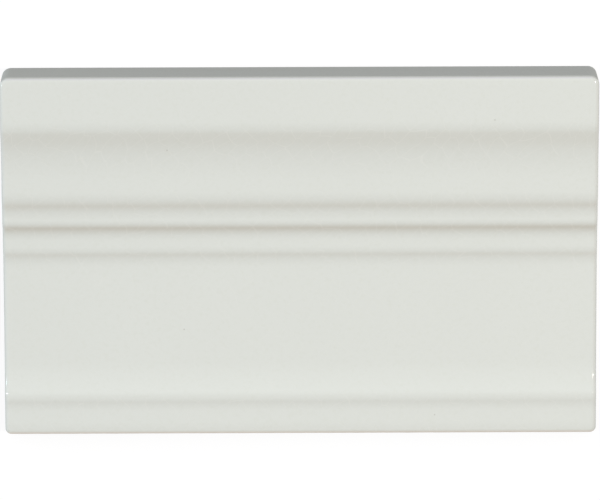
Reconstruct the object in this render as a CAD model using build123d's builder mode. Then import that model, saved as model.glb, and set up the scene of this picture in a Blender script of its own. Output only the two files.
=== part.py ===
# Skirting tile: one pressed, glazed and fired piece with a moulded face and a keyed back.
# It lies on its back: X runs along its length, +Y points to its top edge, +Z out of its face.

from build123d import *
from math import cos, radians, sin
import os

# Overall sizes, in millimetres
tile_length = 198.0
tile_height = 123.0
panel_thickness = 9.5

# Rounded edges: the rim all the way round the face, and the corners that stand up from the back
rim_radius = 1.4
top_corner_radius = 3.0
bottom_corner_radius = 2.0

# Flat bands of the face, from the top edge down; the panel takes up the height that is left
fascia_height = 15.1
upper_ledge_height = 4.7
middle_ledge_height = 0.2
lower_ledge_height = 2.2
crown_height = 0.2
plinth_height = 8.1

# Mouldings of the face, from the top edge down: two radii and the angle of the slope where they meet
cove_nose_radius = 12.0
cove_hollow_radius = 37.0
cove_angle = 20.5
cove_fall_length = 2.8

upper_step_nose_radius = 11.0
upper_step_hollow_radius = 11.2
upper_step_angle = 25.5

middle_step_nose_radius = 4.9
middle_step_hollow_radius = 7.8
middle_step_angle = 34.5

lower_step_nose_radius = 7.6
lower_step_hollow_radius = 12.0
lower_step_angle = 21.5

sweep_hollow_radius = 30.0
sweep_nose_radius = 4.0
sweep_angle = 18.5

plinth_step_nose_radius = 7.6
plinth_step_hollow_radius = 11.4
plinth_step_angle = 16.0

# The foot of the plinth rolls over and leans back a little to its lower edge
foot_roll_radius = 18.0
foot_angle = 6.0
foot_length = 2.3

# Keying grooves pressed into the back
groove_width = 6.0
groove_depth = 1.0
groove_pitch = 13.5
groove_count = 8
groove_end_margin = 9.0
groove_draft_angle = 20.0


def run(first_radius, second_radius, slope, fall_length=0.0):
    """Length down the face that a pair of tangent arcs takes up, with the straight fall between them."""
    return (first_radius + second_radius) * sin(radians(slope)) + fall_length * cos(radians(slope))


def drop(first_radius, second_radius, slope, fall_length=0.0):
    """Change of thickness over a pair of tangent arcs and the straight fall between them."""
    return (first_radius + second_radius) * (1 - cos(radians(slope))) + fall_length * sin(radians(slope))


cove = (cove_nose_radius, cove_hollow_radius, cove_angle, cove_fall_length)
upper_step = (upper_step_nose_radius, upper_step_hollow_radius, upper_step_angle)
middle_step = (middle_step_nose_radius, middle_step_hollow_radius, middle_step_angle)
lower_step = (lower_step_nose_radius, lower_step_hollow_radius, lower_step_angle)
sweep_up = (sweep_hollow_radius, sweep_nose_radius, sweep_angle)
plinth_step = (plinth_step_nose_radius, plinth_step_hollow_radius, plinth_step_angle)

mouldings = [cove, upper_step, middle_step, lower_step, sweep_up, plinth_step]
bands = [
    fascia_height,
    upper_ledge_height,
    middle_ledge_height,
    lower_ledge_height,
    crown_height,
    plinth_height,
]

# Sizes that follow from those above
fascia_thickness = panel_thickness + sum(drop(*step) for step in mouldings[:4])
panel_height = tile_height - sum(bands) - sum(run(*moulding) for moulding in mouldings)
foot_run = foot_roll_radius * sin(radians(foot_angle)) + foot_length * cos(radians(foot_angle))
top_edge = tile_height / 2
bottom_edge = -tile_height / 2
groove_length = tile_length - 2 * groove_end_margin

# The section is drawn from the top edge down, so the face runs towards -Y
DOWN_THE_FACE = (-1, 0)


def flat_band(start, height):
    """Draw a flat band of the face and return its lower end."""
    band = Line(start, start - (height, 0))
    return band @ 1


def falling_moulding(start, nose_radius, hollow_radius, slope, fall_length=0.0):
    """Draw a nose, a straight fall if there is one, and a hollow, and return the lower end."""
    nose = JernArc(start, DOWN_THE_FACE, nose_radius, slope)
    point = nose @ 1
    if fall_length > 0:
        fall = Line(point, point + (nose % 1) * fall_length)
        point = fall @ 1
    hollow = JernArc(point, nose % 1, hollow_radius, -slope)
    return hollow @ 1


def rising_moulding(start, hollow_radius, nose_radius, slope):
    """Draw a hollow and then a nose, coming forward again, and return the lower end."""
    hollow = JernArc(start, DOWN_THE_FACE, hollow_radius, -slope)
    nose = JernArc(hollow @ 1, hollow % 1, nose_radius, slope)
    return nose @ 1


with BuildPart() as skirting_tile:
    # The moulded section, looking along the tile
    with BuildSketch(Plane.YZ):
        with BuildLine():
            top_face = Line((top_edge, 0), (top_edge, fascia_thickness))
            point = flat_band(top_face @ 1, fascia_height)
            point = falling_moulding(point, *cove)
            point = flat_band(point, upper_ledge_height)
            point = falling_moulding(point, *upper_step)
            point = flat_band(point, middle_ledge_height)
            point = falling_moulding(point, *middle_step)
            point = flat_band(point, lower_ledge_height)
            point = falling_moulding(point, *lower_step)
            point = flat_band(point, panel_height)
            point = rising_moulding(point, *sweep_up)
            point = flat_band(point, crown_height)
            point = falling_moulding(point, *plinth_step)
            point = flat_band(point, plinth_height - foot_run)
            roll = JernArc(point, DOWN_THE_FACE, foot_roll_radius, foot_angle)
            foot = Line(roll @ 1, roll @ 1 + (roll % 1) * foot_length)
            bottom_face = Line(foot @ 1, (bottom_edge, 0))
            Line(bottom_face @ 1, top_face @ 0)
        make_face()
    extrude(amount=tile_length / 2, both=True)

    # The four corners that stand up from the back, the upper two rounder than the lower two
    fillet(skirting_tile.edges().filter_by(Axis.Z).group_by(Axis.Y)[-1], top_corner_radius)
    fillet(skirting_tile.edges().filter_by(Axis.Z).group_by(Axis.Y)[0], bottom_corner_radius)

    # The rim, where the face meets the walls all the way round
    walls = skirting_tile.faces().filter_by(lambda face: abs(face.normal_at().Z) < 0.001)
    wall_edges = walls.edges().filter_by(Axis.Z, reverse=True)
    fillet(wall_edges.filter_by_position(Axis.Z, 0, fascia_thickness, inclusive=(False, True)), rim_radius)

    # Keying grooves along the back, with a rib between each pair and a plain rim round them
    with BuildSketch(Plane.XY):
        with GridLocations(groove_pitch, groove_pitch, 1, groove_count):
            SlotOverall(groove_length, groove_width)
    extrude(amount=groove_depth, taper=groove_draft_angle, mode=Mode.SUBTRACT)

skirting_tile.part.label = "skirting_tile"

os.makedirs("parts", exist_ok=True)
export_step(skirting_tile.part, "parts/skirting_tile.step")
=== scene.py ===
"""Looks of the skirting tile.

An ivory glazed face on a white earthenware body, laid on its back in a plain studio.
"""

import logging
import math
from dataclasses import dataclass
from enum import IntEnum
from typing import Any, Optional, Union

import bmesh
import bpy
from bmesh.types import BMesh, BMEdge, BMVert
from mathutils import Euler, Matrix, Vector, noise


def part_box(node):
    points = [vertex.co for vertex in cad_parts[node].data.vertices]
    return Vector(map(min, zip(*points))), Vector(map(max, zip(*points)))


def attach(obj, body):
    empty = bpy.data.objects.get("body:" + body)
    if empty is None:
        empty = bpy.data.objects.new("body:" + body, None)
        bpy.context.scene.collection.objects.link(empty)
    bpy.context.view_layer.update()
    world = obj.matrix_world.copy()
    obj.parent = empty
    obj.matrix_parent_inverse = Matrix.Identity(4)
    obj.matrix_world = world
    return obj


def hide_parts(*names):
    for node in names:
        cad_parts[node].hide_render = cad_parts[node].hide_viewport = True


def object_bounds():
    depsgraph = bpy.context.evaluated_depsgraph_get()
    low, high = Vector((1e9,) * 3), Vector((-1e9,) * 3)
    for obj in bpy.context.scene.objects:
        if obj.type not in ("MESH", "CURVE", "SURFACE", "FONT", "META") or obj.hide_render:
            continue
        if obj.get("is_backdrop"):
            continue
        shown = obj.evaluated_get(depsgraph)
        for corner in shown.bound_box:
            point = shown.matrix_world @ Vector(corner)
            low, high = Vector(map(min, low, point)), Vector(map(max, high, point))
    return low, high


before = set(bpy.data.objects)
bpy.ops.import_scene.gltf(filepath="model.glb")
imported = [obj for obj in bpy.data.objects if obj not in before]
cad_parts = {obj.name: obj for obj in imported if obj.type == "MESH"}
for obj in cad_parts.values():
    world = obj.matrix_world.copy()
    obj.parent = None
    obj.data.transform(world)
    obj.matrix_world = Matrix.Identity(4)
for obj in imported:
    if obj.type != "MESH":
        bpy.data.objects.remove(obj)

NODE_NAME = "skirting_tile"
LEAN_ATTRIBUTE = "lean_to_top_edge"
RIM_ATTRIBUTE = "across_rim"

# Lengths are in metres and angles in degrees
MM = 0.001
QUARTER_TURN = 90.0
MERGE_DISTANCE = 0.0001 * MM

# How far from nought a slope or a share may be and still count as nought
LEVEL = 0.01

# The standard curve of sRGB values
FULL_CHANNEL = 255
TOE_END = 0.04045
TOE_SLOPE = 12.92
CURVE_OFFSET = 0.055
CURVE_POWER = 2.4

# Place of the green value in a colour, which stands for its brightness
GREEN = 1

# Height of the mean direction that an even sky lights a level surface from
MEAN_LIT_HEIGHT = 2 / 3

log = logging.getLogger("skirting_tile")


class Surface(IntEnum):
    """Which finish a face of the tile carries, as its material index."""

    GLAZE = 0
    BISCUIT = 1


def linear(code: str) -> tuple[float, float, float, float]:
    """Turn an sRGB hex colour into linear values.

    Args:
        code: Six hex digits after a hash sign.

    Returns:
        Linear red, green and blue, with an alpha of one.
    """
    channels = [int(code[place:place + 2], 16) / FULL_CHANNEL for place in (1, 3, 5)]
    red, green, blue = [
        channel / TOE_SLOPE
        if channel <= TOE_END
        else ((channel + CURVE_OFFSET) / (1 + CURVE_OFFSET)) ** CURVE_POWER
        for channel in channels
    ]
    return red, green, blue, 1.0


def add_node(
    tree: bpy.types.NodeTree,
    kind: str,
    inputs: Optional[dict[Union[int, str], Any]] = None,
    **settings: Any,
) -> bpy.types.Node:
    """Add a node, set its properties, and set or link its inputs.

    Args:
        tree: The node tree that takes the node.
        kind: The node's type, without its ShaderNode prefix.
        inputs: Input name or place, and the socket to link or the value to set.
        **settings: Properties of the node itself.

    Returns:
        The new node.
    """
    node = tree.nodes.new("ShaderNode" + kind)
    for name, value in settings.items():
        setattr(node, name, value)
    for place, value in (inputs or {}).items():
        if isinstance(value, bpy.types.NodeSocket):
            tree.links.new(value, node.inputs[place])
        else:
            node.inputs[place].default_value = value
    return node


@dataclass(frozen=True)
class Moulding:
    """A nose and a hollow across the face.

    They are two arcs that meet on one slope, with a straight fall between them if it has one.
    """

    nose: float
    hollow: float
    slope: float
    fall: float = 0.0

    @property
    def run(self) -> float:
        """Length down the face."""
        angle = math.radians(self.slope)
        return (self.nose + self.hollow) * math.sin(angle) + self.fall * math.cos(angle)


@dataclass
class SectionPen:
    """Draws the section as a chain of edges in a plane across the tile."""

    mesh: BMesh
    point: BMVert
    heading: float
    straight_step: float
    arc_step: float
    fewest_arc_steps: int = 3

    def leap(self, length: float) -> None:
        """Draw a straight run as one edge.

        Args:
            length: Its length, in metres.
        """
        angle = math.radians(self.heading)
        reach = Vector((0, math.cos(angle), math.sin(angle))) * length
        self.point = bmesh.ops.extrude_vert_indiv(self.mesh, verts=[self.point])["verts"][0]
        bmesh.ops.translate(self.mesh, verts=[self.point], vec=reach)

    def straight(self, length: float) -> None:
        """Draw a straight run in short edges.

        Args:
            length: Its length, in metres.
        """
        steps = max(1, math.ceil(length / self.straight_step))
        for _ in range(steps):
            self.leap(length / steps)

    def arc(self, radius: float, turn: float) -> None:
        """Draw an arc that leaves along the heading.

        Args:
            radius: Its radius, in metres.
            turn: Its angle in degrees, positive where the section turns towards the back.
        """
        side = math.radians(self.heading + math.copysign(QUARTER_TURN, turn))
        length = radius * math.radians(abs(turn))
        spun = bmesh.ops.spin(
            self.mesh,
            geom=[self.point],
            cent=self.point.co + radius * Vector((0, math.cos(side), math.sin(side))),
            axis=(1, 0, 0),
            angle=math.radians(turn),
            steps=max(self.fewest_arc_steps, math.ceil(length / self.arc_step)),
        )
        self.point = [item for item in spun["geom_last"] if isinstance(item, BMVert)][0]
        self.heading += turn

    def falling(self, moulding: Moulding) -> None:
        """Draw a nose and then a hollow, stepping back from the face.

        Args:
            moulding: The moulding to draw.
        """
        self.arc(moulding.nose, moulding.slope)
        if moulding.fall > 0:
            self.straight(moulding.fall)
        self.arc(moulding.hollow, -moulding.slope)

    def rising(self, moulding: Moulding) -> None:
        """Draw a hollow and then a nose, coming forward again.

        Args:
            moulding: The moulding to draw.
        """
        self.arc(moulding.hollow, -moulding.slope)
        self.arc(moulding.nose, moulding.slope)


@dataclass
class SkirtingTile:
    """The tile as one closed mesh: moulded face, rounded edges and keyed back."""

    low: Vector
    high: Vector
    edge_radius: float = 1.4 * MM
    top_corner: float = 3.0 * MM
    bottom_corner: float = 2.0 * MM
    corner_room: float = 0.3 * MM
    fascia_height: float = 15.1 * MM
    upper_ledge: float = 4.7 * MM
    middle_ledge: float = 0.2 * MM
    lower_ledge: float = 2.2 * MM
    crown: float = 0.2 * MM
    plinth_height: float = 8.1 * MM
    plinth_roll: float = 18.0 * MM
    plinth_slope: float = 6.0
    plinth_fall: float = 2.3 * MM
    cove: Moulding = Moulding(nose=12.0 * MM, hollow=37.0 * MM, slope=20.5, fall=2.8 * MM)
    upper_step: Moulding = Moulding(nose=11.0 * MM, hollow=11.2 * MM, slope=25.5)
    middle_step: Moulding = Moulding(nose=4.9 * MM, hollow=7.8 * MM, slope=34.5)
    lower_step: Moulding = Moulding(nose=7.6 * MM, hollow=12.0 * MM, slope=21.5)
    sweep: Moulding = Moulding(nose=4.0 * MM, hollow=30.0 * MM, slope=18.5)
    plinth_step: Moulding = Moulding(nose=7.6 * MM, hollow=11.4 * MM, slope=16.0)
    groove_width: float = 6.0 * MM
    groove_depth: float = 1.0 * MM
    groove_pitch: float = 13.5 * MM
    groove_count: int = 8
    groove_end_margin: float = 9.0 * MM
    groove_draft: float = 20.0
    groove_segments: int = 24
    straight_step: float = 1.5 * MM
    arc_step: float = 0.4 * MM
    length_step: float = 2.0 * MM
    edge_segments: int = 12
    corner_segments: int = 8
    ripple: float = 0.03 * MM
    ripple_length: float = 24.0 * MM
    fine_ripple_share: float = 0.5
    fine_ripple_ratio: float = 2.0
    smooth_angle: float = 40.0
    glaze_end: float = 0.2
    top_glaze_end: float = 0.7
    top_edge_lean: float = 0.5

    @property
    def panel_height(self) -> float:
        """Work out the height of the flat panel.

        Returns:
            What the other bands and the mouldings leave of the tile's height.
        """
        bands = (
            self.fascia_height,
            self.upper_ledge,
            self.middle_ledge,
            self.lower_ledge,
            self.crown,
            self.plinth_height,
        )
        mouldings = (
            self.cove,
            self.upper_step,
            self.middle_step,
            self.lower_step,
            self.sweep,
            self.plinth_step,
        )
        runs = sum(moulding.run for moulding in mouldings)
        return self.high.y - self.low.y - sum(bands) - runs

    @property
    def plinth_flat(self) -> float:
        """Work out the height of the plinth's flat face.

        Returns:
            What the part that rolls over and leans to the lower edge leaves of the plinth.
        """
        angle = math.radians(self.plinth_slope)
        roll = self.plinth_roll * math.sin(angle)
        return self.plinth_height - roll - self.plinth_fall * math.cos(angle)

    def draw_section(self, mesh: BMesh) -> None:
        """Draw the section at the left end and fill it.

        It runs from the top edge down the face and back, with sharp edges.

        Args:
            mesh: The tile's mesh.
        """
        start = mesh.verts.new((self.low.x, self.high.y, self.low.z))
        pen = SectionPen(mesh, start, QUARTER_TURN, self.straight_step, self.arc_step)
        pen.leap(self.high.z - self.low.z)
        pen.heading += QUARTER_TURN
        pen.leap(self.top_corner + self.corner_room)
        pen.straight(self.fascia_height - self.top_corner - self.corner_room)
        pen.falling(self.cove)
        pen.straight(self.upper_ledge)
        pen.falling(self.upper_step)
        pen.straight(self.middle_ledge)
        pen.falling(self.middle_step)
        pen.straight(self.lower_ledge)
        pen.falling(self.lower_step)
        pen.straight(self.panel_height)
        pen.rising(self.sweep)
        pen.straight(self.crown)
        pen.falling(self.plinth_step)
        pen.straight(self.plinth_flat)
        pen.arc(self.plinth_roll, self.plinth_slope)
        pen.leap(self.plinth_fall)
        pen.heading = -QUARTER_TURN
        pen.leap(pen.point.co.z - self.low.z)
        mesh.edges.new((pen.point, start))
        bmesh.ops.edgeloop_fill(mesh, edges=mesh.edges[:])

    def draw_out(self, mesh: BMesh) -> None:
        """Draw the section out to the tile's length.

        Args:
            mesh: The tile's mesh.
        """
        drawn = bmesh.ops.extrude_face_region(mesh, geom=mesh.faces[:])
        far_end = [item for item in drawn["geom"] if isinstance(item, BMVert)]
        bmesh.ops.translate(mesh, verts=far_end, vec=(self.high.x - self.low.x, 0, 0))
        bmesh.ops.recalc_face_normals(mesh, faces=mesh.faces[:])

    @staticmethod
    def round_over(mesh: BMesh, edges: list[BMEdge], radius: float, segments: int) -> None:
        """Round a set of square edges over.

        Args:
            mesh: The tile's mesh.
            edges: The edges to round.
            radius: Their radius, in metres.
            segments: Faces across the rounding.
        """
        bmesh.ops.bevel(
            mesh,
            geom=edges,
            offset=radius,
            offset_type="OFFSET",
            affect="EDGES",
            segments=segments,
            profile=0.5,
            material=-1,
        )

    def round_corners(self, mesh: BMesh) -> None:
        """Round the four corners that stand up from the back.

        The upper two are rounder than the lower two.

        Args:
            mesh: The tile's mesh.
        """
        for side, radius in ((self.high.y, self.top_corner), (self.low.y, self.bottom_corner)):
            upright = [
                edge
                for edge in mesh.edges
                if all(abs(vert.co.y - side) < MERGE_DISTANCE for vert in edge.verts)
                and abs(edge.verts[0].co.x - edge.verts[1].co.x) < MERGE_DISTANCE
            ]
            self.round_over(mesh, upright, radius, self.corner_segments)

    def round_rim(self, mesh: BMesh) -> None:
        """Round the edge that runs all the way round the face.

        Args:
            mesh: The tile's mesh.
        """
        mesh.normal_update()
        rim = []
        for edge in mesh.edges:
            heights = sorted(face.normal.z for face in edge.link_faces)
            if abs(heights[0]) < LEVEL and heights[-1] > LEVEL:
                rim.append(edge)
        self.round_over(mesh, rim, self.edge_radius, self.edge_segments)

    def divide_length(self, mesh: BMesh) -> None:
        """Cut the long strips into short ones, so that the glaze can ripple.

        Args:
            mesh: The tile's mesh.
        """
        cuts = round((self.high.x - self.low.x) / self.length_step)
        for cut in range(1, cuts):
            bmesh.ops.bisect_plane(
                mesh,
                geom=mesh.verts[:] + mesh.edges[:] + mesh.faces[:],
                dist=MERGE_DISTANCE,
                plane_co=self.low.lerp(self.high, cut / cuts),
                plane_no=(1, 0, 0),
            )

    def groove_outline(self, mesh: BMesh, centre_y: float) -> list[BMEdge]:
        """Lay out one keying groove on the back.

        Args:
            mesh: The tile's mesh.
            centre_y: Where the groove's middle line is.

        Returns:
            The edges round the groove's mouth.
        """
        half_step = math.pi / self.groove_segments
        turned = Matrix.Rotation(half_step, 4, "Z")
        circle = bmesh.ops.create_circle(
            mesh,
            segments=self.groove_segments,
            radius=self.groove_width / 2,
            matrix=Matrix.Translation((0, centre_y, self.low.z)) @ turned,
        )
        reach = (self.high.x - self.low.x - self.groove_width) / 2 - self.groove_end_margin
        for side in (-1, 1):
            half = [vert for vert in circle["verts"] if vert.co.x * side > 0]
            bmesh.ops.translate(mesh, verts=half, vec=(side * reach, 0, 0))
        return list({edge for vert in circle["verts"] for edge in vert.link_edges})

    def sink_groove(self, mesh: BMesh, mouth: list[BMEdge], centre_y: float) -> None:
        """Sink one groove from its mouth, with drafted sides.

        Args:
            mesh: The tile's mesh.
            mouth: The edges round the groove's mouth.
            centre_y: Where the groove's middle line is.
        """
        sunk = bmesh.ops.extrude_edge_only(mesh, edges=mouth)["geom"]
        floor = [item for item in sunk if isinstance(item, BMVert)]
        floor_edges = [item for item in sunk if isinstance(item, BMEdge)]
        draft = self.groove_depth * math.tan(math.radians(self.groove_draft))
        half_length = (self.high.x - self.low.x) / 2 - self.groove_end_margin
        shrink = (1 - draft / half_length, 1 - 2 * draft / self.groove_width, 1)
        middle = Matrix.Translation((0, -centre_y, 0))
        bmesh.ops.scale(mesh, verts=floor, vec=shrink, space=middle)
        bmesh.ops.translate(mesh, verts=floor, vec=(0, 0, self.groove_depth))
        bmesh.ops.edgeloop_fill(mesh, edges=floor_edges)

    def press_back(self, mesh: BMesh) -> None:
        """Open the back and press the keying grooves into it.

        Args:
            mesh: The tile's mesh.
        """
        floor = self.low.z + MERGE_DISTANCE
        back = [face for face in mesh.faces if all(vert.co.z < floor for vert in face.verts)]
        bmesh.ops.delete(mesh, geom=back, context="FACES_ONLY")
        wires = [edge for edge in mesh.edges if not edge.link_faces]
        bmesh.ops.delete(mesh, geom=wires, context="EDGES")
        rim = [edge for edge in mesh.edges if edge.is_boundary]
        first = -(self.groove_count - 1) / 2
        rows = [(first + row) * self.groove_pitch for row in range(self.groove_count)]
        mouths = [self.groove_outline(mesh, row) for row in rows]
        outlines = rim + [edge for mouth in mouths for edge in mouth]
        bmesh.ops.triangle_fill(mesh, edges=outlines, use_beauty=True, normal=(0, 0, -1))
        for mouth, row in zip(mouths, rows):
            self.sink_groove(mesh, mouth, row)
        bmesh.ops.remove_doubles(mesh, verts=mesh.verts[:], dist=MERGE_DISTANCE)
        bmesh.ops.recalc_face_normals(mesh, faces=mesh.faces[:])

    def settle_glaze(self, mesh: BMesh) -> None:
        """Let the glaze lie in faint ripples, never proud of the pressed shape.

        Args:
            mesh: The tile's mesh.
        """
        mesh.normal_update()
        fine_share = self.fine_ripple_share
        for vert in mesh.verts:
            facing = max(0.0, vert.normal.z)
            place = vert.co / self.ripple_length
            fine = noise.noise(place * self.fine_ripple_ratio)
            swell = (noise.noise(place) + fine_share * fine) / (1 + fine_share)
            vert.co -= vert.normal * facing * self.ripple * (1 + swell) / 2

    def finish_faces(self, mesh: BMesh) -> None:
        """Give each face its finish: glaze on the face and its rim, biscuit on the walls and back.

        The glaze ends higher up on the rim along the top edge, where it was wiped off.

        Args:
            mesh: The tile's mesh.
        """
        for face in mesh.faces:
            face.smooth = True
            end = self.top_glaze_end if face.normal.y > self.top_edge_lean else self.glaze_end
            face.material_index = Surface.GLAZE if face.normal.z > end else Surface.BISCUIT

    def mark_surface(self, data: bpy.types.Mesh) -> None:
        """Keep on the mesh what the glaze reads.

        One value is how far a point leans towards the top edge. The other is how far across the
        rim it is, from nought on the face to one at the top wall or minus one at the foot's wall.

        Args:
            data: The tile's mesh.
        """
        lean = data.attributes.new(LEAN_ATTRIBUTE, "FLOAT", "POINT")
        across = data.attributes.new(RIM_ATTRIBUTE, "FLOAT", "POINT")
        for vertex in data.vertices:
            above = max(0.0, vertex.co.y - self.high.y + self.edge_radius)
            below = max(0.0, self.low.y + self.edge_radius - vertex.co.y)
            lean.data[vertex.index].value = vertex.normal.y
            across.data[vertex.index].value = (above - below) / self.edge_radius

    def build(self) -> bpy.types.Object:
        """Model the tile.

        Returns:
            The finished object, at the origin, with the values that the glaze reads.
        """
        mesh = bmesh.new()
        self.draw_section(mesh)
        self.draw_out(mesh)
        self.round_corners(mesh)
        self.round_rim(mesh)
        self.divide_length(mesh)
        self.press_back(mesh)
        self.settle_glaze(mesh)
        self.finish_faces(mesh)
        data = bpy.data.meshes.new("glazed_tile")
        mesh.to_mesh(data)
        mesh.free()
        data.set_sharp_from_angle(angle=math.radians(self.smooth_angle))
        self.mark_surface(data)
        tile = bpy.data.objects.new("glazed_tile", data)
        bpy.context.collection.objects.link(tile)
        return tile


@dataclass(frozen=True)
class IvoryGlaze:
    """Opaque tin glaze, sprayed and fired glossy.

    It gives an even warm white with a sharp gloss, a faint orange peel and a few pinholes. It runs
    thin on the arris of the top edge, where the body shows through; the lavender tint there is a
    painted reflection of cool light. The steep falls of the mouldings are painted darker and
    warmer, as painted shade, and the rim along the foot is painted lighter, as painted light. The
    glaze ends in an uneven tan line along the foot. It is finely crackled: the hairlines are
    painted lighter on the falls, a painted highlight where they catch light, and all but vanish on
    the level face. They are drawn wider than they are, or they would not show.
    """

    name: str = "ivory_tin_glaze"
    colour: str = "#DDE0D9"
    cloud_colour: str = "#DBDED7"
    speck_colour: str = "#DADDD5"
    # Painted shade: the steep falls that face away from the light are coloured darker and warmer
    painted_fall_shade_colour: str = "#D3D1C5"
    # Painted highlight: the crackle's hairlines are coloured lighter than the glaze, most on the
    # falls
    crackle_highlight_colour: str = "#F4F3EC"
    # Thin glaze on the top arris, with a lavender tint painted as the reflection of cool light
    arris_and_reflection_colour: str = "#CAC8CC"
    # Painted light: the rim along the foot is coloured lighter and warmer, where it faces away
    # from the light
    painted_rim_light_colour: str = "#F3EBDD"
    foot_colour: str = "#BFB199"
    pinhole_colour: str = "#C9C9C1"
    smoothest: float = 0.06
    roughest: float = 0.1
    bare_roughness: float = 0.7
    ior: float = 1.52
    cloud_size: float = 40.0 * MM
    cloud_detail: float = 3.0
    speck_size: float = 1.4 * MM
    speck_detail: float = 1.0
    speck_start: float = 0.5
    speck_end: float = 0.8
    pinhole_pitch: float = 75.0 * MM
    pinhole_radius: float = 0.35 * MM
    pinhole_core: float = 0.5
    crackle_cell: float = 3.6 * MM
    crackle_width: float = 0.26 * MM
    crackle_turn: float = 42.0
    crackle_stretch: float = 1.8
    crackle_bend: float = 14.0 * MM
    crackle_bend_length: float = 30.0 * MM
    crackle_randomness: float = 0.45
    crackle_level_share: float = 0.05
    crackle_fall_highlight_share: float = 0.2
    crackle_start: float = 0.0
    crackle_end: float = -0.25
    painted_fall_shade_start: float = -0.2
    painted_fall_shade_end: float = -0.57
    painted_fall_shade_power: float = 1.5
    arris_start: float = 0.2
    arris_end: float = 0.85
    painted_rim_light_start: float = -0.2
    painted_rim_light_end: float = -0.7
    foot_start: float = -0.88
    foot_end: float = -0.97
    foot_waver: float = 0.2
    foot_waver_length: float = 6.0 * MM
    peel_size: float = 3.0 * MM
    peel_depth: float = 0.0015 * MM
    peel_detail: float = 1.0

    def crackle(
        self, tree: bpy.types.NodeTree, place: bpy.types.NodeSocket, lean: bpy.types.NodeSocket
    ) -> bpy.types.NodeSocket:
        """Draw the hairlines of the crackle: bent cells, longer along one diagonal.

        Their lighter colour, strongest on the falls, is a painted highlight.

        Args:
            tree: The node tree of the glaze.
            place: Where a point of the glaze is.
            lean: How far it leans towards the top edge there.

        Returns:
            How much of the crackle's painted highlight shows.
        """
        along = {
            "Vector": place,
            "Rotation": (0, 0, math.radians(self.crackle_turn)),
            "Scale": (self.crackle_stretch, 1, 1),
        }
        turned = add_node(tree, "Mapping", along, vector_type="TEXTURE").outputs[0]
        sway = add_node(tree, "TexNoise", {"Vector": place, "Scale": 1 / self.crackle_bend_length})
        swayed = {0: sway.outputs["Color"], 1: (self.crackle_bend,) * 3, 2: turned}
        bent = add_node(tree, "VectorMath", swayed, operation="MULTIPLY_ADD").outputs[0]
        spread = {
            "Vector": bent,
            "Scale": 1 / self.crackle_cell,
            "Randomness": self.crackle_randomness,
        }
        cells = add_node(
            tree, "TexVoronoi", spread, feature="DISTANCE_TO_EDGE", voronoi_dimensions="2D"
        )
        hairline = {
            "Value": cells.outputs["Distance"],
            "From Min": self.crackle_width / self.crackle_cell / 2,
            "From Max": 0.0,
        }
        # Painted highlight: the hairlines are lighter on the falls, where they catch light
        on_falls = {
            "Value": lean,
            "From Min": self.crackle_start,
            "From Max": self.crackle_end,
            "To Min": self.crackle_level_share,
            "To Max": self.crackle_fall_highlight_share,
        }
        lines = add_node(tree, "MapRange", hairline).outputs[0]
        share = add_node(tree, "MapRange", on_falls).outputs[0]
        return add_node(tree, "Math", {0: lines, 1: share}, operation="MULTIPLY").outputs[0]

    def painted_fall_shade(
        self, tree: bpy.types.NodeTree, lean: bpy.types.NodeSocket, across: bpy.types.NodeSocket
    ) -> bpy.types.NodeSocket:
        """Find the steep falls of the mouldings, which face away from the light, for painted
        shade.

        Args:
            tree: The node tree of the glaze.
            lean: How far a point leans towards the top edge.
            across: How far across the rim it is.

        Returns:
            How much of the painted shade's colour shows.
        """
        slope = {"Value": lean, "From Min": self.painted_fall_shade_start, "From Max": self.painted_fall_shade_end}
        steep = add_node(tree, "MapRange", slope).outputs[0]
        power = {0: steep, 1: self.painted_fall_shade_power}
        steepest = add_node(tree, "Math", power, operation="POWER").outputs[0]
        nought = {0: across, 1: 0.0, 2: LEVEL}
        on_face = add_node(tree, "Math", nought, operation="COMPARE").outputs[0]
        return add_node(tree, "Math", {0: steepest, 1: on_face}, operation="MULTIPLY").outputs[0]

    def foot_line(
        self, tree: bpy.types.NodeTree, place: bpy.types.NodeSocket, across: bpy.types.NodeSocket
    ) -> bpy.types.NodeSocket:
        """Draw the uneven line along the foot where the glaze ends.

        Args:
            tree: The node tree of the glaze.
            place: Where a point of the glaze is.
            across: How far across the rim it is.

        Returns:
            How much of the line's colour shows.
        """
        waver = add_node(tree, "TexNoise", {"Vector": place, "Scale": 1 / self.foot_waver_length})
        half = self.foot_waver / 2
        sway = {"Value": waver.outputs["Fac"], "To Min": -half, "To Max": half}
        shift = add_node(tree, "MapRange", sway).outputs[0]
        wavering = add_node(tree, "Math", {0: across, 1: shift}, operation="ADD").outputs[0]
        line = {"Value": wavering, "From Min": self.foot_start, "From Max": self.foot_end}
        return add_node(tree, "MapRange", line).outputs[0]

    def pinholes(
        self, tree: bpy.types.NodeTree, place: bpy.types.NodeSocket
    ) -> bpy.types.NodeSocket:
        """Scatter a few pinholes over the glaze.

        Args:
            tree: The node tree of the glaze.
            place: Where a point of the glaze is.

        Returns:
            How much of a pinhole's colour shows.
        """
        spread = {"Vector": place, "Scale": 1 / self.pinhole_pitch}
        nearest = add_node(tree, "TexVoronoi", spread, voronoi_dimensions="2D")
        reach = self.pinhole_radius / self.pinhole_pitch
        hole = {
            "Value": nearest.outputs["Distance"],
            "From Min": reach,
            "From Max": reach * self.pinhole_core,
        }
        return add_node(tree, "MapRange", hole).outputs[0]

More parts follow.
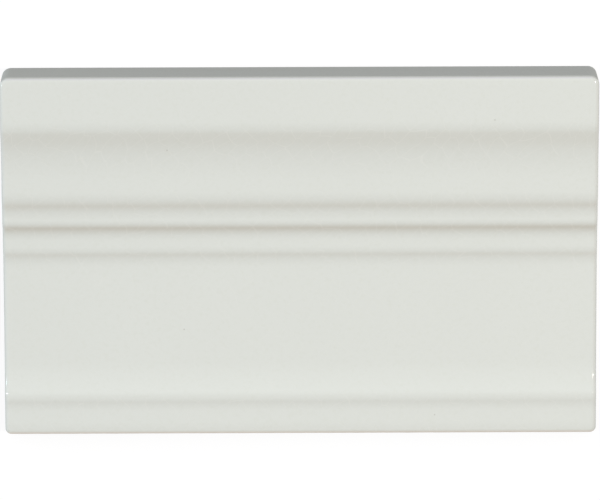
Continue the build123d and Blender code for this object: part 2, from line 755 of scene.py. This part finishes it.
    def material(self) -> bpy.types.Material:
        """Make the node material.

        Returns:
            The glaze.
        """
        material = bpy.data.materials.new(self.name)
        material.use_nodes = True
        tree = material.node_tree
        shader = tree.nodes["Principled BSDF"]
        place = add_node(tree, "TexCoord").outputs["Object"]
        lean = add_node(tree, "Attribute", attribute_name=LEAN_ATTRIBUTE).outputs["Fac"]
        across = add_node(tree, "Attribute", attribute_name=RIM_ATTRIBUTE).outputs["Fac"]
        clouds = {"Vector": place, "Scale": 1 / self.cloud_size, "Detail": self.cloud_detail}
        cloud = add_node(tree, "TexNoise", clouds).outputs["Fac"]
        grit = {"Vector": place, "Scale": 1 / self.speck_size, "Detail": self.speck_detail}
        sown = {
            "Value": add_node(tree, "TexNoise", grit).outputs["Fac"],
            "From Min": self.speck_start,
            "From Max": self.speck_end,
        }
        specks = add_node(tree, "MapRange", sown).outputs[0]
        # Across the top arris: thin glaze with a dull finish, and a painted reflection tint
        arris_span = {"Value": across, "From Min": self.arris_start, "From Max": self.arris_end}
        arris = add_node(tree, "MapRange", arris_span).outputs[0]
        # Painted light on the rim along the foot, which faces away from the light
        foot_rim_span = {"Value": across, "From Min": self.painted_rim_light_start, "From Max": self.painted_rim_light_end}
        painted_rim_light = add_node(tree, "MapRange", foot_rim_span).outputs[0]
        foot = self.foot_line(tree, place, across)
        colour = linear(self.colour)
        for share, code in (
            (cloud, self.cloud_colour),
            (specks, self.speck_colour),
            # Painted shade on the falls that face away from the light
            (self.painted_fall_shade(tree, lean, across), self.painted_fall_shade_colour),
            (self.crackle(tree, place, lean), self.crackle_highlight_colour),
            (arris, self.arris_and_reflection_colour),
            (painted_rim_light, self.painted_rim_light_colour),
            (foot, self.foot_colour),
            (self.pinholes(tree, place), self.pinhole_colour),
        ):
            layer = {"Factor": share, "A": colour, "B": linear(code)}
            colour = add_node(tree, "Mix", layer, data_type="RGBA").outputs["Result"]
        shine = {"Value": cloud, "To Min": self.smoothest, "To Max": self.roughest}
        gloss = add_node(tree, "MapRange", shine).outputs[0]
        bare = add_node(tree, "Math", {0: arris, 1: foot}, operation="MAXIMUM").outputs[0]
        dull = {"Factor": bare, "A": gloss, "B": self.bare_roughness}
        roughness = add_node(tree, "Mix", dull, data_type="FLOAT").outputs["Result"]
        peel = {"Vector": place, "Scale": 1 / self.peel_size, "Detail": self.peel_detail}
        height = add_node(tree, "TexNoise", peel).outputs["Fac"]
        bump = add_node(tree, "Bump", {"Height": height, "Distance": self.peel_depth})
        tree.links.new(colour, shader.inputs["Base Color"])
        tree.links.new(roughness, shader.inputs["Roughness"])
        tree.links.new(bump.outputs["Normal"], shader.inputs["Normal"])
        shader.inputs["IOR"].default_value = self.ior
        return material


@dataclass(frozen=True)
class EarthenwareBiscuit:
    """White earthenware body, pressed and fired, left bare or thinly dusted with glaze.

    It is dull, chalky and fine-grained.
    """

    name: str = "white_earthenware_biscuit"
    colour: str = "#CED0CB"
    grain_colour: str = "#C4C5BE"
    roughness: float = 0.85
    specular: float = 0.1
    grain_size: float = 0.8 * MM
    grain_depth: float = 0.03 * MM
    grain_detail: float = 3.0

    def material(self) -> bpy.types.Material:
        """Make the node material.

        Returns:
            The biscuit.
        """
        material = bpy.data.materials.new(self.name)
        material.use_nodes = True
        tree = material.node_tree
        shader = tree.nodes["Principled BSDF"]
        place = add_node(tree, "TexCoord").outputs["Object"]
        grains = {"Vector": place, "Scale": 1 / self.grain_size, "Detail": self.grain_detail}
        grain = add_node(tree, "TexNoise", grains).outputs["Fac"]
        layer = {"Factor": grain, "A": linear(self.colour), "B": linear(self.grain_colour)}
        colour = add_node(tree, "Mix", layer, data_type="RGBA").outputs["Result"]
        bump = add_node(tree, "Bump", {"Height": grain, "Distance": self.grain_depth})
        tree.links.new(colour, shader.inputs["Base Color"])
        tree.links.new(bump.outputs["Normal"], shader.inputs["Normal"])
        shader.inputs["Roughness"].default_value = self.roughness
        shader.inputs["Specular IOR Level"].default_value = self.specular
        return material


@dataclass(frozen=True)
class Lamp:
    """A small lamp that points at the tile, for the glints on its rim."""

    name: str
    direction: Vector
    share: float
    colour: str
    distance: float
    width: float

    def build(self) -> bpy.types.Object:
        """Hang the lamp, at the power that lights a level white surface to its share of white.

        Returns:
            The lamp.
        """
        towards = self.direction.normalized()
        light = bpy.data.lights.new(self.name, "AREA")
        light.size = self.width
        light.color = linear(self.colour)[:3]
        light.energy = self.share * math.pi ** 2 * self.distance ** 2 / towards.z
        lamp = bpy.data.objects.new(self.name, light)
        lamp.location = towards * self.distance
        lamp.rotation_euler = towards.to_track_quat("Z", "Y").to_euler()
        lamp.visible_camera = False
        bpy.context.collection.objects.link(lamp)
        return lamp


@dataclass
class Studio:
    """White floor, a soft fill that leans to the top edge, two lamps and the photo's camera."""

    tile: SkirtingTile
    fill_share: float = 0.69
    fill_lean: float = 45.0
    fill_bright: str = "#F7FAFF"
    fill_dark: str = "#4E3416"
    fill_dark_end: float = -0.6
    backdrop: str = "#FFFFFF"
    floor_width: float = 8.0
    floor_shade: float = 0.2
    floor_light: float = 0.85
    floor_bounce: float = 0.3
    floor_gap: float = 0.05 * MM
    left_lamp: Lamp = Lamp(
        name="left_lamp",
        direction=Vector((-0.95, 0.015, 0.3)),
        share=0.08,
        colour="#E0F0FF",
        distance=2.0,
        width=0.14,
    )
    right_lamp: Lamp = Lamp(
        name="right_lamp",
        direction=Vector((0.42, 0.05, 0.9)),
        share=0.25,
        colour="#FFF5E8",
        distance=1.3,
        width=0.06,
    )
    camera_distance: float = 2.0
    camera_tilt: float = 11.5
    camera_roll: float = 0.2
    camera_reach: float = 20.0
    aim_height: float = 3.4 * MM
    sensor_width: float = 36.0

    @staticmethod
    def seen_directly(tree: bpy.types.NodeTree) -> bpy.types.NodeSocket:
        """Add a switch that is one for what the camera sees, by itself or in a gloss or a glass.

        Args:
            tree: The node tree that takes the switch.

        Returns:
            The switch's output.
        """
        path = add_node(tree, "LightPath")
        seen = path.outputs["Is Camera Ray"]
        for ray in ("Is Glossy Ray", "Is Transmission Ray"):
            either = {0: seen, 1: path.outputs[ray]}
            seen = add_node(tree, "Math", either, operation="MAXIMUM").outputs[0]
        return seen

    def paper(self) -> bpy.types.Material:
        """Make the floor's paper: white to the eye where nothing shades it, clear from underneath.

        Returns:
            The paper.
        """
        material = bpy.data.materials.new("white_paper_floor")
        material.use_nodes = True
        tree = material.node_tree
        tree.nodes.remove(tree.nodes["Principled BSDF"])
        shade = self.floor_shade
        paper = add_node(tree, "BsdfDiffuse", {"Color": (shade, shade, shade, 1)})
        missing = {0: self.seen_directly(tree), 1: 1 - self.floor_light * shade}
        strength = add_node(tree, "Math", missing, operation="MULTIPLY").outputs[0]
        glow = add_node(tree, "Emission", {"Strength": strength})
        both = add_node(tree, "AddShader", {0: paper.outputs[0], 1: glow.outputs[0]})
        underneath = add_node(tree, "NewGeometry").outputs["Backfacing"]
        clear = add_node(tree, "BsdfTransparent")
        sides = {0: underneath, 1: both.outputs[0], 2: clear.outputs[0]}
        sheet = add_node(tree, "MixShader", sides)
        tree.links.new(sheet.outputs[0], tree.nodes["Material Output"].inputs["Surface"])
        return material

    def build_floor(self) -> bpy.types.Object:
        """Lay the floor, which keeps the tile's shadow.

        The light that it throws back is part of the fill, so that the tile's back is lit too.

        Returns:
            The floor.
        """
        mesh = bmesh.new()
        place = Matrix.Translation((0, 0, self.tile.low.z - self.floor_gap))
        half = self.floor_width / 2
        bmesh.ops.create_grid(mesh, x_segments=1, y_segments=1, size=half, matrix=place)
        data = bpy.data.meshes.new("floor")
        mesh.to_mesh(data)
        mesh.free()
        data.materials.append(self.paper())
        floor = bpy.data.objects.new("floor", data)
        floor.visible_diffuse = False
        bpy.context.collection.objects.link(floor)
        floor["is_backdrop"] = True
        return floor

    def build_fill(self) -> None:
        """Fill the room with light, brightest and coolest between overhead and the top edge.

        To the eye the room is white.
        """
        world = bpy.data.worlds.new("studio_fill")
        world.use_nodes = True
        tree = world.node_tree
        background = tree.nodes["Background"]
        seen = self.seen_directly(tree)
        bright, dark = linear(self.fill_bright), linear(self.fill_dark)
        lean = math.radians(self.fill_lean)
        direction = add_node(tree, "TexCoord").outputs["Object"]
        brightest = (0, math.sin(lean), math.cos(lean))
        near = add_node(tree, "VectorMath", {0: direction, 1: brightest}, operation="DOT_PRODUCT")
        nearness = {
            "Value": near.outputs["Value"],
            "From Min": self.fill_dark_end,
            "From Max": 1.0,
        }
        share = add_node(tree, "MapRange", nearness).outputs[0]
        shades = {"Factor": share, "A": dark, "B": bright}
        fill = add_node(tree, "Mix", shades, data_type="RGBA").outputs["Result"]
        middle = math.cos(lean) * MEAN_LIT_HEIGHT
        middle_share = (middle - self.fill_dark_end) / (1 - self.fill_dark_end)
        level = dark[GREEN] + (bright[GREEN] - dark[GREEN]) * middle_share
        even = self.fill_share / level
        grey = self.floor_bounce / even
        height = add_node(tree, "SeparateXYZ", {0: direction}).outputs["Z"]
        upper = add_node(tree, "Math", {0: height, 1: 0.0}, operation="GREATER_THAN").outputs[0]
        halves = {"Factor": upper, "A": (grey, grey, grey, 1), "B": fill}
        light = add_node(tree, "Mix", halves, data_type="RGBA").outputs["Result"]
        powers = {"Factor": seen, "A": even, "B": 1.0}
        strength = add_node(tree, "Mix", powers, data_type="FLOAT").outputs["Result"]
        colours = {"Factor": seen, "A": light, "B": linear(self.backdrop)}
        colour = add_node(tree, "Mix", colours, data_type="RGBA").outputs["Result"]
        tree.links.new(strength, background.inputs["Strength"])
        tree.links.new(colour, background.inputs["Color"])
        bpy.context.scene.world = world

    def build_camera(self) -> bpy.types.Object:
        """Set the camera over the tile, tilted so that its top edge shows.

        The fascia takes up the width of the frame.

        Returns:
            The camera.
        """
        tilt = math.radians(self.camera_tilt)
        aim = Vector((0, 0, self.aim_height))
        away = Vector((0, math.sin(tilt), math.cos(tilt)))
        fascia = Vector((0, self.tile.high.y - self.tile.fascia_height / 2, self.tile.high.z))
        fascia_distance = self.camera_distance - (fascia - aim).dot(away)
        lens = bpy.data.cameras.new("photo_camera")
        lens.sensor_width = self.sensor_width
        lens.lens = self.sensor_width * fascia_distance / (self.tile.high.x - self.tile.low.x)
        lens.clip_end = self.camera_reach
        camera = bpy.data.objects.new("photo_camera", lens)
        camera.location = aim + away * self.camera_distance
        camera.rotation_euler = Euler((-tilt, 0, 0))
        camera.rotation_euler.rotate_axis("Z", math.radians(-self.camera_roll))
        bpy.context.collection.objects.link(camera)
        bpy.context.scene.camera = camera
        return camera

    def build(self) -> None:
        """Set up the whole studio."""
        self.build_floor()
        self.build_fill()
        self.left_lamp.build()
        self.right_lamp.build()
        self.build_camera()
        bpy.context.scene.view_settings.view_transform = "Standard"


def main() -> None:
    """Build the tile, dress it and set up the studio."""
    logging.basicConfig(level=logging.INFO, format="%(name)s: %(message)s")
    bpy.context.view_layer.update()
    low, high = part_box(NODE_NAME)
    tile = SkirtingTile(Vector(low), Vector(high))
    piece = tile.build()
    piece.data.materials.append(IvoryGlaze().material())
    piece.data.materials.append(EarthenwareBiscuit().material())
    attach(piece, "root")
    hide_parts(NODE_NAME)
    log.info("%s: %d faces", piece.name, len(piece.data.polygons))
    Studio(tile).build()
    low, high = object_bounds()


if __name__ == "__main__":
    main()
